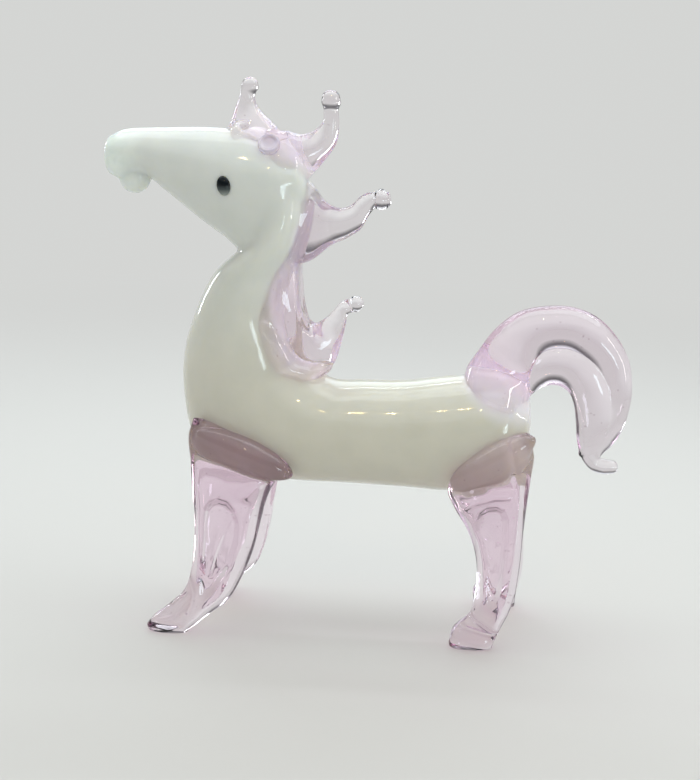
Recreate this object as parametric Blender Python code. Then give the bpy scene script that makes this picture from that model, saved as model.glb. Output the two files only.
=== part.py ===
"""Lampworked glass horse figurine.

An opal white gather makes the torso, neck and head. Clear pink gathers are fused to it as four legs,
a tail, a forelock, three mane locks and two ears, with a white lip and two black eyes.
The horse faces -X and stands on Z = 0, so its left side is at -Y. Units are metres.
"""

import math

import bmesh
import bpy
import numpy as np
from mathutils import Vector

MM = 0.001

# Torso and neck
BACK_HEIGHT = 34.4 * MM
TORSO_DEPTH = 14.6 * MM
TORSO_LENGTH = 48.2 * MM
TORSO_WIDTH = 13.8 * MM
NECK_RISE = 33.7 * MM
NECK_WIDTH = 11.0 * MM

# Head
HEAD_LENGTH = 28.0 * MM
HEAD_WIDTH = 10.6 * MM
CHEEK_DEPTH = 16.6 * MM
MUZZLE_DEPTH = 7.4 * MM
MUZZLE_WIDTH = 6.6 * MM

# Eyes, ears and lip
EYE_HEIGHT = 2.4 * MM
EYE_WIDTH = 1.6 * MM
EAR_DIAMETER = 3.0 * MM
LIP_LENGTH = 3.5 * MM
LIP_WIDTH = 3.8 * MM

# Legs
STANCE_WIDTH = 19.0 * MM
FORELEG_DEPTH = 9.0 * MM
HIND_LEG_DEPTH = 6.4 * MM
LEG_THICKNESS = 4.6 * MM
WRAP_THICKNESS = 1.3 * MM
FOREFOOT_STAGGER = 2.4 * MM
HIND_FOOT_STAGGER = 3.2 * MM

# Forelock and mane locks
FORELOCK_RISE = 7.5 * MM
POLL_LOCK_REACH = 8.6 * MM
NECK_LOCK_REACH = 11.6 * MM
WITHERS_LOCK_REACH = 8.7 * MM
LOCK_THICKNESS = 2.4 * MM
BROW_DROP_WIDTH = 1.6 * MM

# Tail
TAIL_REACH = 22.7 * MM
TAIL_RISE = 11.4 * MM
TAIL_DROP = 11.8 * MM
TAIL_THICKNESS = 5.4 * MM

# The gap that stands for each fused seam
SEAM_GAP = 0.3 * MM

# Hoops of each gather, in order along it, and the two points at which it ends. A hoop is an oval that
# crosses the XZ plane at two points, given as fractions (along, up) of the gather's own sizes, and then
# its half width as a fraction.
SHAPES = {
    # Body: along runs from the chest (0) to the rump (1), up runs 0 belly, 1 back and 2 top of the head.
    "body": ((
        (0.990, 0.91, 0.990, 0.42, 0.62),
        (0.945, 1.03, 0.945, 0.13, 0.82),
        (0.880, 1.05, 0.870, 0.02, 0.94),
        (0.790, 1.035, 0.770, -0.02, 0.99),
        (0.650, 1.005, 0.635, 0.00, 1.00),
        (0.525, 1.00, 0.475, 0.01, 1.00),
        (0.433, 1.00, 0.300, 0.02, 1.00),
        (0.385, 1.04, 0.155, 0.09, 0.96),
        (0.335, 1.09, 0.045, 0.34, 0.91),
        (0.303, 1.19, 0.006, 0.80, 0.86),
        (0.284, 1.28, 0.008, 1.11, 0.81),
        (0.292, 1.39, 0.042, 1.28, 0.77),
        (0.314, 1.48, 0.095, 1.43, 0.74),
        (0.335, 1.57, 0.150, 1.55, 0.72),
        (0.348, 1.68, 0.190, 1.68, 0.68),
        (0.340, 1.80, 0.215, 1.79, 0.58),
    ), ((1.000, 0.67), (0.275, 1.88))),
    # Head: along runs from the back of the head (0) to the muzzle (1), drop of the top line as a fraction
    # of the cheek's depth, depth and width from the muzzle's (0) to the cheek's (1).
    "head": ((
        (0.055, 0.22, 0.28, 0.25),
        (0.150, 0.085, 0.78, 0.82),
        (0.270, 0.02, 0.98, 1.00),
        (0.410, 0.00, 0.81, 0.92),
        (0.555, 0.00, 0.54, 0.62),
        (0.685, 0.01, 0.22, 0.30),
        (0.810, 0.02, 0.01, 0.10),
        (0.910, 0.04, -0.01, -0.12),
        (0.970, 0.10, -0.10, -0.48),
    ), ((0.000, 0.49), (1.000, 0.24))),
    # Legs: along is measured from the middle of the leg in leg depths, up runs 0 ground, 1 belly, 2 back.
    # The last two numbers are how far the hoop stands out from the torso towards the foot and its
    # thickness in leg thicknesses.
    "foreleg": ((
        (-0.49, 1.68, 0.88, 1.30, -0.20, 0.80),
        (-0.57, 1.49, 0.94, 1.21, 0.00, 1.10),
        (-0.55, 1.24, 0.77, 1.11, 0.12, 1.20),
        (-0.51, 0.98, 0.60, 0.93, 0.25, 1.12),
        (-0.48, 0.78, 0.51, 0.74, 0.42, 1.00),
        (-0.48, 0.58, 0.40, 0.54, 0.58, 0.92),
        (-0.51, 0.43, 0.26, 0.38, 0.72, 0.84),
        (-0.62, 0.28, 0.07, 0.23, 0.84, 0.78),
        (-0.84, 0.18, -0.14, 0.12, 0.92, 0.76),
        (-1.06, 0.10, -0.32, 0.04, 0.97, 0.76),
        (-1.18, 0.04, -0.38, -0.02, 1.00, 0.76),
    ), ((0.16, 1.63), (-0.80, -0.10))),
    "hind_leg": ((
        (0.57, 1.64, -1.08, 1.21, -0.20, 0.80),
        (0.64, 1.46, -1.15, 1.09, 0.00, 1.10),
        (0.59, 1.21, -0.95, 0.93, 0.14, 1.20),
        (0.55, 0.96, -0.69, 0.80, 0.30, 1.10),
        (0.50, 0.77, -0.52, 0.67, 0.45, 0.98),
        (0.47, 0.58, -0.44, 0.52, 0.58, 0.90),
        (0.40, 0.42, -0.45, 0.37, 0.72, 0.82),
        (0.28, 0.26, -0.56, 0.23, 0.85, 0.78),
        (0.10, 0.13, -0.90, 0.12, 0.94, 0.78),
        (-0.03, 0.03, -0.97, 0.03, 1.00, 0.78),
    ), ((-0.22, 1.55), (-0.50, -0.10))),
    # Tail: along from the croup in reaches, up from the back in rises, down in drops. The outer rod runs
    # from the root to the curled tip and the inner fold lies along it inside the arch.
    "tail_rod": ((
        (-0.01, 0.07, 0.39, -0.29, 2.19),
        (0.01, 0.21, 0.39, -0.15, 1.81),
        (0.07, 0.41, 0.395, -0.02, 1.32),
        (0.17, 0.69, 0.41, 0.18, 1.10),
        (0.32, 0.92, 0.45, 0.37, 1.02),
        (0.50, 1.00, 0.52, 0.45, 1.00),
        (0.70, 0.95, 0.63, 0.44, 0.98),
        (0.86, 0.73, 0.73, 0.32, 0.94),
        (0.96, 0.42, 0.80, 0.16, 0.86),
        (1.00, 0.09, 0.835, -0.02, 0.78),
        (0.99, -0.20, 0.835, -0.22, 0.70),
        (0.955, -0.46, 0.79, -0.42, 0.62),
        (0.90, -0.645, 0.72, -0.61, 0.56),
        (0.85, -0.74, 0.72, -0.80, 0.50),
        (0.83, -0.80, 0.775, -0.94, 0.44),
        (0.85, -0.81, 0.845, -1.00, 0.42),
        (0.903, -0.82, 0.907, -0.985, 0.36),
    ), ((0.19, -0.33), (0.943, -0.90))),
    "tail_fold": ((
        (0.38, 0.26, 0.395, -0.10, 0.60),
        (0.43, 0.49, 0.44, -0.025, 0.78),
        (0.51, 0.58, 0.50, 0.035, 0.85),
        (0.60, 0.58, 0.565, 0.035, 0.86),
        (0.705, 0.53, 0.62, -0.035, 0.86),
        (0.805, 0.395, 0.655, -0.17, 0.85),
        (0.88, 0.175, 0.67, -0.30, 0.83),
        (0.92, -0.12, 0.68, -0.43, 0.78),
        (0.915, -0.39, 0.685, -0.59, 0.70),
        (0.87, -0.59, 0.705, -0.73, 0.60),
    ), ((0.325, 0.00), (0.765, -0.78))),
    # Forelock: along and up from the root in rises.
    "forelock": ((
        (-0.53, -0.03, 0.64, -0.10, 2.20),
        (-0.43, 0.17, 0.40, 0.15, 1.75),
        (-0.36, 0.35, 0.13, 0.40, 1.25),
        (-0.29, 0.55, 0.03, 0.57, 1.02),
        (-0.27, 0.72, 0.05, 0.73, 0.98),
        (-0.23, 0.85, 0.09, 0.84, 1.00),
    ), ((0.01, -0.23), (-0.07, 1.00))),
    # Mane locks: along from the root in reaches, up from it in parts of the neck's rise.
    "poll_lock": ((
        (-0.27, 0.34, 0.18, -0.36, 2.10),
        (-0.08, 0.44, 0.42, -0.07, 1.75),
        (0.15, 0.43, 0.56, 0.13, 1.25),
        (0.33, 0.49, 0.66, 0.28, 1.05),
        (0.44, 0.60, 0.70, 0.47, 0.98),
        (0.44, 0.74, 0.71, 0.71, 1.00),
        (0.40, 0.92, 0.73, 0.92, 1.20),
    ), ((-0.20, -0.09), (0.56, 1.10))),
    "neck_lock": ((
        (-0.05, 0.50, -0.09, -0.53, 2.60),
        (0.11, 0.44, 0.13, -0.46, 1.90),
        (0.26, 0.25, 0.34, -0.27, 1.35),
        (0.43, 0.16, 0.54, -0.18, 1.12),
        (0.59, 0.22, 0.70, -0.06, 1.00),
        (0.69, 0.32, 0.79, 0.09, 0.96),
        (0.79, 0.38, 0.90, 0.15, 1.04),
        (0.90, 0.40, 0.97, 0.20, 0.92),
    ), ((-0.22, -0.03), (1.01, 0.32))),
    "withers_lock": ((
        (-0.20, 1.16, -0.30, -0.59, 4.10),
        (-0.02, 1.02, -0.07, -0.82, 3.50),
        (-0.01, 0.59, 0.21, -0.87, 2.60),
        (0.01, 0.16, 0.49, -0.60, 1.75),
        (0.17, -0.03, 0.61, -0.25, 1.25),
        (0.37, 0.01, 0.68, 0.00, 1.08),
        (0.53, 0.17, 0.75, 0.10, 0.96),
        (0.67, 0.32, 0.83, 0.15, 0.92),
        (0.83, 0.39, 0.92, 0.17, 0.86),
    ), ((-0.72, 0.11), (1.00, 0.31))),
}

BELLY_HEIGHT = BACK_HEIGHT - TORSO_DEPTH
HEAD_TOP = BACK_HEIGHT + NECK_RISE
CHEST_X = -0.527 * TORSO_LENGTH


def between(start, end, fraction):
    return start + (end - start) * fraction


def body_point(along, up):
    """A point of the body's outline: up 0 is the belly, 1 the back and 2 the top of the head."""
    if up <= 1:
        height = between(BELLY_HEIGHT, BACK_HEIGHT, up)
    else:
        height = between(BACK_HEIGHT, HEAD_TOP, up - 1)
    return CHEST_X + TORSO_LENGTH * along, height


def body_hoops():
    """Hoops of the torso and neck; the width goes over from the torso's to the neck's."""
    hoops = []
    for back_along, back_up, front_along, front_up, width in SHAPES["body"][0]:
        neck = min(max(back_up - 1.1, 0.0) * 4, 1.0)
        half_width = width * between(TORSO_WIDTH / 2, NECK_WIDTH / 2 / 0.76, neck)
        back = body_point(back_along, back_up)
        front = body_point(front_along, front_up)
        hoops.append((*back, *front, 0.0, half_width))
    return hoops, [(*body_point(*end), 0.0) for end in SHAPES["body"][1]]


HEAD_X = body_point(0.353, 1)[0]


def head_point(along, drop):
    return HEAD_X - HEAD_LENGTH * along, HEAD_TOP - CHEEK_DEPTH * drop


def head_hoops():
    """Hoops of the head from the back of the head to the muzzle."""
    hoops = []
    for along, drop, depth, width in SHAPES["head"][0]:
        x, top = head_point(along, drop)
        bottom = HEAD_TOP - between(MUZZLE_DEPTH, CHEEK_DEPTH, depth)
        hoops.append((x, top, x, bottom, 0.0, between(MUZZLE_WIDTH, HEAD_WIDTH, width) / 2))
    return hoops, [(*head_point(*end), 0.0) for end in SHAPES["head"][1]]


def leg_hoops(shape, middle, depth, side, stagger):
    """Hoops of a leg from its wrap on the torso to its foot, on side -1 (left) or 1 (right)."""
    table, ends = SHAPES[shape]
    torso_side = TORSO_WIDTH / 2 + WRAP_THICKNESS
    foot_side = STANCE_WIDTH / 2 + LEG_THICKNESS * 0.4

    def place(along, up):
        height = BELLY_HEIGHT * up if up <= 1 else body_point(0, up - 1)[1]
        step = stagger * max(0.0, 1 - up) ** 2
        return middle + depth * along + step, height

    hoops = []
    for front_along, front_up, back_along, back_up, out, thickness in table:
        half_width = thickness * LEG_THICKNESS / 2
        y = side * (between(torso_side, foot_side, out) - half_width)
        hoops.append((*place(front_along, front_up), *place(back_along, back_up), y, half_width))
    return hoops, [(*place(*ends[0]), hoops[0][4]), (*place(*ends[1]), hoops[-1][4])]


def tail_hoops(shape):
    """Hoops of one strand of the tail, from the croup over the arch towards the tip."""
    table, ends = SHAPES[shape]
    root = body_point(0.809, 1)

    def place(along, up):
        return root[0] + TAIL_REACH * along, root[1] + up * (TAIL_RISE if up > 0 else TAIL_DROP)

    hoops = []
    for outer_along, outer_up, inner_along, inner_up, thickness in table:
        half_width = thickness * TAIL_THICKNESS / 2
        hoops.append((*place(outer_along, outer_up), *place(inner_along, inner_up), 0.0, half_width))
    return hoops, [(*place(*end), 0.0) for end in ends]


def lock_hoops(shape, root, reach, rise):
    """Hoops of a lock of mane, or of the forelock, from its root to the ball at its tip."""
    table, ends = SHAPES[shape]

    def place(along, up):
        return root[0] + reach * along, root[1] + rise * up

    hoops = []
    for upper_along, upper_up, lower_along, lower_up, thickness in table:
        half_width = thickness * LOCK_THICKNESS / 2
        hoops.append((*place(upper_along, upper_up), *place(lower_along, lower_up), 0.0, half_width))
    return hoops, [(*place(*end), 0.0) for end in ends]


def smooth_hoops(hoops, steps):
    """Hoops with others put in between, on a smooth curve through the given ones."""
    rows = np.array(hoops)
    padded = np.vstack((2 * rows[0] - rows[1], rows, 2 * rows[-1] - rows[-2]))
    result = []
    for index in range(len(rows) - 1):
        before, start, end, after = padded[index:index + 4]
        for step in range(steps):
            t = step / steps
            result.append(0.5 * (2 * start + (end - before) * t
                                 + (2 * before - 5 * start + 4 * end - after) * t ** 2
                                 + (3 * start - before - 3 * end + after) * t ** 3))
    return result + [rows[-1]]


def dome(hoop, end, steps):
    """Hoops that round a gather off from its last hoop to its end point."""
    first, second = np.array(hoop[0:2]), np.array(hoop[2:4])
    centre = (first + second) / 2
    result = []
    for step in range(1, steps):
        angle = math.pi / 2 * step / steps
        size, reach = math.cos(angle), math.sin(angle)
        middle = centre + (np.array(end[:2]) - centre) * reach
        y = between(hoop[4], end[2], reach)
        result.append((*(middle + (first - centre) * size), *(middle + (second - centre) * size),
                       y, hoop[5] * size))
    return result


def link(obj, collection):
    collection.objects.link(obj)
    return obj


def new_collection(name):
    collection = bpy.data.collections.new(name)
    bpy.context.scene.collection.children.link(collection)
    return collection


def loft(name, hoops_and_ends, segments, steps, turn=0.5, cap_steps=3):
    """Closed skin over a gather's hoops, rounded off at both ends.

    The first corner of each ring is turned away from the XZ plane by a part of a segment, and the ring is
    enlarged so that it still reaches the points of its hoop.
    """
    hoops, (start, end) = hoops_and_ends
    enlarged = 1 / math.cos(2 * math.pi * turn / segments)
    rows = list(reversed(dome(hoops[0], start, cap_steps)))
    rows += smooth_hoops(hoops, steps) + dome(hoops[-1], end, cap_steps)
    mesh = bmesh.new()
    rings = []
    for first_x, first_z, second_x, second_z, y, half_width in rows:
        centre = Vector(((first_x + second_x) / 2, y, (first_z + second_z) / 2))
        arm = Vector(((first_x - second_x) / 2, 0.0, (first_z - second_z) / 2)) * enlarged
        side = Vector((0.0, half_width, 0.0)) * enlarged
        ring = []
        for segment in range(segments):
            angle = 2 * math.pi * (segment + turn) / segments
            ring.append(mesh.verts.new(centre + arm * math.cos(angle) + side * math.sin(angle)))
        rings.append(ring)
    for ring, next_ring in zip(rings, rings[1:]):
        for segment in range(segments):
            following = (segment + 1) % segments
            mesh.faces.new((ring[segment], ring[following], next_ring[following], next_ring[segment]))
    for ring, (x, z, y) in ((rings[0], start), (rings[-1], end)):
        pole = mesh.verts.new((x, y, z))
        for segment in range(segments):
            mesh.faces.new((ring[segment], pole, ring[(segment + 1) % segments]))
    bmesh.ops.recalc_face_normals(mesh, faces=mesh.faces)
    for face in mesh.faces:
        face.smooth = True
    data = bpy.data.meshes.new(name)
    mesh.to_mesh(data)
    mesh.free()
    return bpy.data.objects.new(name, data)


def bead(name, place, sizes, lean=0.0, turn=0.0):
    """Ellipsoid of glass; lean turns it about Y and turn then swings it about Z."""
    mesh = bmesh.new()
    bmesh.ops.create_uvsphere(mesh, u_segments=12, v_segments=8, radius=0.5)
    for face in mesh.faces:
        face.smooth = True
    data = bpy.data.meshes.new(name)
    mesh.to_mesh(data)
    mesh.free()
    obj = bpy.data.objects.new(name, data)
    obj.location = place
    obj.scale = sizes
    obj.rotation_euler = (0.0, lean, turn)
    return obj


def grown(obj, name, distance):
    """Copy of a piece with its skin moved out along its normals, used to cut a neighbour."""
    copy = bpy.data.objects.new(name, obj.data.copy())
    copy.matrix_basis = obj.matrix_basis
    scale = Vector(obj.scale)
    mesh = bmesh.new()
    mesh.from_mesh(copy.data)
    for vert in mesh.verts:
        outward = Vector([vert.normal[i] / scale[i] for i in range(3)]).normalized()
        vert.co += Vector([outward[i] * distance / scale[i] for i in range(3)])
    mesh.to_mesh(copy.data)
    mesh.free()
    copy.display_type = "WIRE"
    copy.hide_render = True
    return copy


def combine(obj, other, operation):
    modifier = obj.modifiers.new(other.name, "BOOLEAN")
    modifier.operation = operation
    modifier.solver = "EXACT"
    modifier.object = other


def glass(name, colour, roughness, transmission):
    material = bpy.data.materials.new(name)
    material.use_nodes = True
    shader = material.node_tree.nodes["Principled BSDF"]
    shader.inputs["Base Color"].default_value = (*colour, 1.0)
    shader.inputs["Roughness"].default_value = roughness
    shader.inputs["Transmission Weight"].default_value = transmission
    shader.inputs["IOR"].default_value = 1.5
    material.diffuse_color = (*colour, 1.0)
    return material


def centre_shift(objects):
    """Move that puts the bottom centre of the objects' bounding box on the origin."""
    graph = bpy.context.evaluated_depsgraph_get()
    corners = []
    for obj in objects:
        evaluated = obj.evaluated_get(graph)
        data = evaluated.to_mesh()
        corners += [evaluated.matrix_world @ vert.co for vert in data.vertices]
        evaluated.to_mesh_clear()
    points = np.array(corners)
    low, high = points.min(axis=0), points.max(axis=0)
    return Vector((-(low[0] + high[0]) / 2, -(low[1] + high[1]) / 2, -low[2]))


def main():
    for obj in list(bpy.data.objects):
        bpy.data.objects.remove(obj)

    horse = new_collection("glass_horse_figurine")
    cutters = new_collection("construction")
    opal = glass("opal_white_glass", (0.80, 0.79, 0.72), 0.12, 0.0)
    pink = glass("pink_glass", (0.74, 0.58, 0.70), 0.05, 0.85)
    black = glass("black_glass", (0.02, 0.02, 0.02), 0.08, 0.0)

    def piece(obj, material):
        obj.data.materials.append(material)
        return link(obj, horse)

    def cutter(obj):
        obj.display_type = "WIRE"
        obj.hide_render = True
        return link(obj, cutters)

    body = piece(loft("body", body_hoops(), 24, 2, turn=0.0), opal)
    body_cutter = cutter(grown(body, "body_cutter", SEAM_GAP))
    head = cutter(loft("head_form", head_hoops(), 24, 2, turn=0.0))
    combine(body_cutter, cutter(grown(head, "head_cutter", SEAM_GAP)), "UNION")
    combine(body, head, "UNION")

    beads = []
    mouth_x, mouth_top = head_point(0.839, 0)
    lip = piece(bead("lower_lip", (mouth_x, 0.0, mouth_top - MUZZLE_DEPTH - LIP_LENGTH * 0.08),
                     (LIP_LENGTH, LIP_WIDTH, LIP_LENGTH * 0.83)), opal)
    beads.append(lip)
    eye_x, eye_z = head_point(0.386, 0.416)
    ear_x, ear_z = head_point(0.175, 0.135)
    ears = []
    for name, side in (("left", -1), ("right", 1)):
        eye = bead(name + "_eye", (eye_x, side * HEAD_WIDTH * 0.475, eye_z),
                   (EYE_WIDTH, EYE_WIDTH, EYE_HEIGHT), lean=math.radians(-14))
        beads.append(piece(eye, black))
        ear = bead(name + "_ear", (ear_x, side * HEAD_WIDTH * 0.27, ear_z),
                   (EAR_DIAMETER, EAR_DIAMETER * 0.8, EAR_DIAMETER))
        ears.append(piece(ear, pink))
    for small in beads + ears:
        combine(body, cutter(grown(small, small.name + "_seat", SEAM_GAP)), "DIFFERENCE")
    ear_seats = [cutters.objects[ear.name + "_seat"] for ear in ears]

    ground = cutter(bpy.data.objects.new("ground_cutter", bpy.data.meshes.new("ground_cutter")))
    block = bmesh.new()
    bmesh.ops.create_cube(block, size=1.0)
    block.to_mesh(ground.data)
    block.free()
    ground.scale = (4 * TORSO_LENGTH, 4 * STANCE_WIDTH, BELLY_HEIGHT)
    ground.location.z = -BELLY_HEIGHT / 2

    fore_x = body_point(0.154, 0)[0]
    hind_x = body_point(0.925, 0)[0]
    for name, side, far in (("left", -1, 0), ("right", 1, 1)):
        foreleg = leg_hoops("foreleg", fore_x, FORELEG_DEPTH, side, far * FOREFOOT_STAGGER)
        hind_leg = leg_hoops("hind_leg", hind_x, HIND_LEG_DEPTH, side, far * HIND_FOOT_STAGGER)
        for leg_name, hoops in ((name + "_foreleg", foreleg), (name + "_hind_leg", hind_leg)):
            leg = piece(loft(leg_name, hoops, 16, 2), pink)
            combine(leg, body_cutter, "DIFFERENCE")
            combine(leg, ground, "DIFFERENCE")

    tail = piece(loft("tail", tail_hoops("tail_rod"), 16, 2), pink)
    fold = cutter(loft("tail_fold", tail_hoops("tail_fold"), 16, 2))
    combine(tail, fold, "UNION")
    combine(tail, body_cutter, "DIFFERENCE")

    locks = (
        ("forelock", "forelock", head_point(0.271, 0.036), FORELOCK_RISE, FORELOCK_RISE),
        ("mane_poll_lock", "poll_lock", head_point(0.075, 0.247), POLL_LOCK_REACH, NECK_RISE * 0.255),
        ("mane_neck_lock", "neck_lock", body_point(0.336, 1.641), NECK_LOCK_REACH, NECK_RISE * 0.344),
        ("mane_withers_lock", "withers_lock", body_point(0.336, 1.240), WITHERS_LOCK_REACH,
         NECK_RISE * 0.258),
    )
    neighbour = None
    for name, shape, root, reach, rise in locks:
        lock = piece(loft(name, lock_hoops(shape, root, reach, rise), 12, 2), pink)
        if name == "forelock":
            brow_x, brow_z = head_point(0.339, 0.036)
            drop = bead("brow_drop", (brow_x, -HEAD_WIDTH * 0.19, brow_z),
                        (BROW_DROP_WIDTH, BROW_DROP_WIDTH, BROW_DROP_WIDTH * 1.6))
            combine(lock, cutter(drop), "UNION")
        combine(lock, body_cutter, "DIFFERENCE")
        if name in ("forelock", "mane_poll_lock"):
            for seat in ear_seats:
                combine(lock, seat, "DIFFERENCE")
        if neighbour:
            combine(lock, neighbour, "DIFFERENCE")
        neighbour = cutter(grown(lock, name + "_cutter", SEAM_GAP))

    bpy.context.view_layer.update()
    root = link(bpy.data.objects.new("glass_horse", None), horse)
    shift = centre_shift([obj for obj in horse.objects if obj.type == "MESH"])
    for obj in list(horse.objects) + list(cutters.objects):
        if obj is not root:
            obj.parent = root
    root.location = shift
    bpy.context.view_layer.update()


main()
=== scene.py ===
import math

import bmesh
import bpy
import numpy as np
from mathutils import Matrix, Vector, noise


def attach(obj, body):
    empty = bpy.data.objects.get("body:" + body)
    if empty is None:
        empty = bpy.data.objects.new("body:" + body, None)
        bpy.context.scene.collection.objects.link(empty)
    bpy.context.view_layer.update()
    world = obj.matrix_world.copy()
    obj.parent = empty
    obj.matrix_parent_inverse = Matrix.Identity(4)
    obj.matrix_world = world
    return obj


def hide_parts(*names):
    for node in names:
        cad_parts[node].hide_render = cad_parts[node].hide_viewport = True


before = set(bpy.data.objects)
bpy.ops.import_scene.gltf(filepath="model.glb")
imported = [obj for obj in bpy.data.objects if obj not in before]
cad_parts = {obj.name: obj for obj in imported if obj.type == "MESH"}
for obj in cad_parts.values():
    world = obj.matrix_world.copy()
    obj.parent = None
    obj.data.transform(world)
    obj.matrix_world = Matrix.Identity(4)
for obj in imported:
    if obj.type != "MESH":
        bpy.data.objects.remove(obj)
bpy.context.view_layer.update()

# All lengths below are in millimetres. The horse faces -X with its left side at -Y, and stands on Z = 0.
MM = 0.001
SIDES = (("left", -1), ("right", 1))
COARSE = 1.0

# Hoops of each gather: two opposite points in the XZ plane (x, z, x, z) and half the width across it.
# Its ends are the two points (x, z) where it closes beyond its first and its last hoop.
BODY = (
    (22.3, 33.1, 22.3, 25.9, 4.3), (20.15, 35.4, 20.15, 21.7, 5.66), (17.0, 36.1, 16.5, 20.1, 6.5),
    (12.7, 35.6, 11.7, 19.5, 6.8), (5.9, 34.6, 5.2, 19.8, 6.9), (-0.1, 34.4, -2.5, 19.95, 6.9),
    (-4.5, 34.4, -10.9, 20.1, 6.9), (-6.8, 35.7, -17.9, 21.1, 6.6), (-9.3, 37.4, -23.2, 24.8, 6.3),
    (-10.8, 40.8, -25.1, 31.5, 6.0), (-11.7, 43.8, -25.0, 38.1, 5.7), (-11.3, 47.5, -23.4, 43.8, 5.6),
    (-10.3, 50.6, -20.8, 48.9, 5.4), (-9.25, 53.6, -17.0, 52.7, 5.2), (-8.6, 57.3, -15.6, 57.3, 4.9),
    (-9.0, 61.4, -15.0, 61.0, 4.2),
)
BODY_ENDS = ((22.8, 29.6), (-12.1, 64.1))
HEAD = (
    (-9.9, 64.45, -9.9, 58.1, 3.8), (-12.6, 66.7, -12.6, 53.5, 4.94), (-15.7, 67.8, -15.7, 51.0, 5.3),
    (-19.9, 68.1, -19.9, 53.7, 5.14), (-23.9, 68.1, -23.9, 56.5, 4.54), (-27.6, 67.95, -27.6, 59.3, 3.9),
    (-30.6, 67.85, -30.6, 61.4, 3.55), (-32.6, 67.7, -32.6, 61.3, 3.3), (-34.2, 67.35, -34.2, 60.9, 3.0),
    (-35.3, 66.75, -35.2, 61.35, 2.45),
)
HEAD_ENDS = ((-8.4, 60.0), (-36.3, 64.1))
TAIL_ROD = (
    (13.4, 35.2, 22.5, 31.0, 5.85), (13.8, 36.8, 22.5, 32.6, 4.9), (15.2, 39.1, 22.6, 34.2, 3.56),
    (17.5, 42.3, 22.9, 36.5, 3.0), (20.9, 44.9, 23.8, 38.6, 2.75), (25.0, 45.75, 25.4, 39.5, 2.7),
    (29.5, 45.2, 27.9, 39.4, 2.65), (33.1, 42.7, 30.2, 38.0, 2.54), (35.4, 39.2, 31.8, 36.2, 2.3),
    (36.25, 35.4, 32.6, 34.2, 2.1), (36.1, 32.0, 32.6, 31.8, 1.9), (35.3, 29.0, 31.5, 29.4, 1.67),
    (34.0, 26.8, 29.9, 27.2, 1.5), (32.9, 25.7, 29.9, 25.0, 1.35), (32.4, 25.0, 31.2, 23.3, 1.2),
    (32.9, 24.85, 32.8, 22.7, 1.13), (34.1, 24.7, 34.2, 22.8, 0.97),
)
TAIL_ROD_ENDS = ((17.9, 30.5), (35.0, 23.8))
TAIL_FOLD = (
    (22.2, 37.4, 22.6, 33.2, 1.6), (23.4, 40.0, 23.6, 34.1, 2.1), (25.2, 41.0, 24.9, 34.8, 2.3),
    (27.3, 41.0, 26.4, 34.8, 2.3), (29.6, 40.4, 27.7, 34.0, 2.3), (31.9, 38.9, 28.5, 32.4, 2.3),
    (33.6, 36.4, 28.8, 30.9, 2.24), (34.5, 33.0, 29.0, 29.3, 2.1), (34.4, 29.8, 29.2, 27.4, 1.9),
    (33.4, 27.4, 29.6, 25.8, 1.6),
)
TAIL_FOLD_ENDS = ((21.0, 34.4), (31.0, 25.2))
POLL = (
    (-13.6, 67.3, -9.4, 60.6, 2.6), (-11.6, 68.0, -7.0, 63.3, 2.2), (-9.4, 67.6, -5.7, 65.0, 1.6),
    (-7.7, 68.2, -4.8, 66.4, 1.26), (-6.7, 69.2, -4.5, 68.0, 1.16), (-6.6, 70.4, -4.5, 70.1, 1.08),
    (-6.6, 71.0, -4.6, 70.9, 1.0), (-6.95, 71.9, -4.3, 71.9, 1.3), (-6.8, 72.7, -4.5, 72.7, 1.15),
)
POLL_ENDS = ((-12.2, 63.2), (-5.65, 73.5))
NECK = (
    (-9.8, 61.8, -10.2, 49.9, 3.1), (-7.9, 61.1, -7.7, 50.7, 2.3), (-6.2, 58.9, -5.2, 52.8, 1.6),
    (-4.2, 57.9, -2.9, 53.9, 1.34), (-2.4, 58.5, -1.1, 55.3, 1.2), (-1.4, 59.5, -0.2, 56.9, 1.05),
    (-0.4, 60.1, 0.3, 57.65, 0.9), (0.5, 60.2, 0.6, 58.0, 0.95), (1.4, 60.75, 1.45, 57.75, 1.45),
    (2.2, 60.3, 2.2, 58.05, 1.15),
)
NECK_ENDS = ((-11.8, 55.6), (2.78, 59.2))
WITHERS = (
    (-10.9, 52.6, -11.8, 37.4, 4.9), (-9.4, 51.4, -9.8, 35.4, 4.2), (-9.3, 47.6, -7.4, 34.9, 3.1),
    (-9.1, 43.9, -4.3, 36.6, 2.1), (-7.7, 42.2, -3.4, 39.6, 1.5), (-6.0, 42.6, -2.9, 42.0, 1.3),
    (-4.6, 44.0, -2.7, 43.4, 1.15), (-3.4, 45.3, -2.0, 43.8, 1.05), (-2.7, 45.6, -1.9, 43.8, 0.75),
    (-1.9, 46.0, -1.3, 43.85, 1.1), (-1.1, 45.9, -0.9, 44.3, 0.9),
)
WITHERS_ENDS = ((-15.5, 43.5), (-0.55, 45.1))
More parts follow.
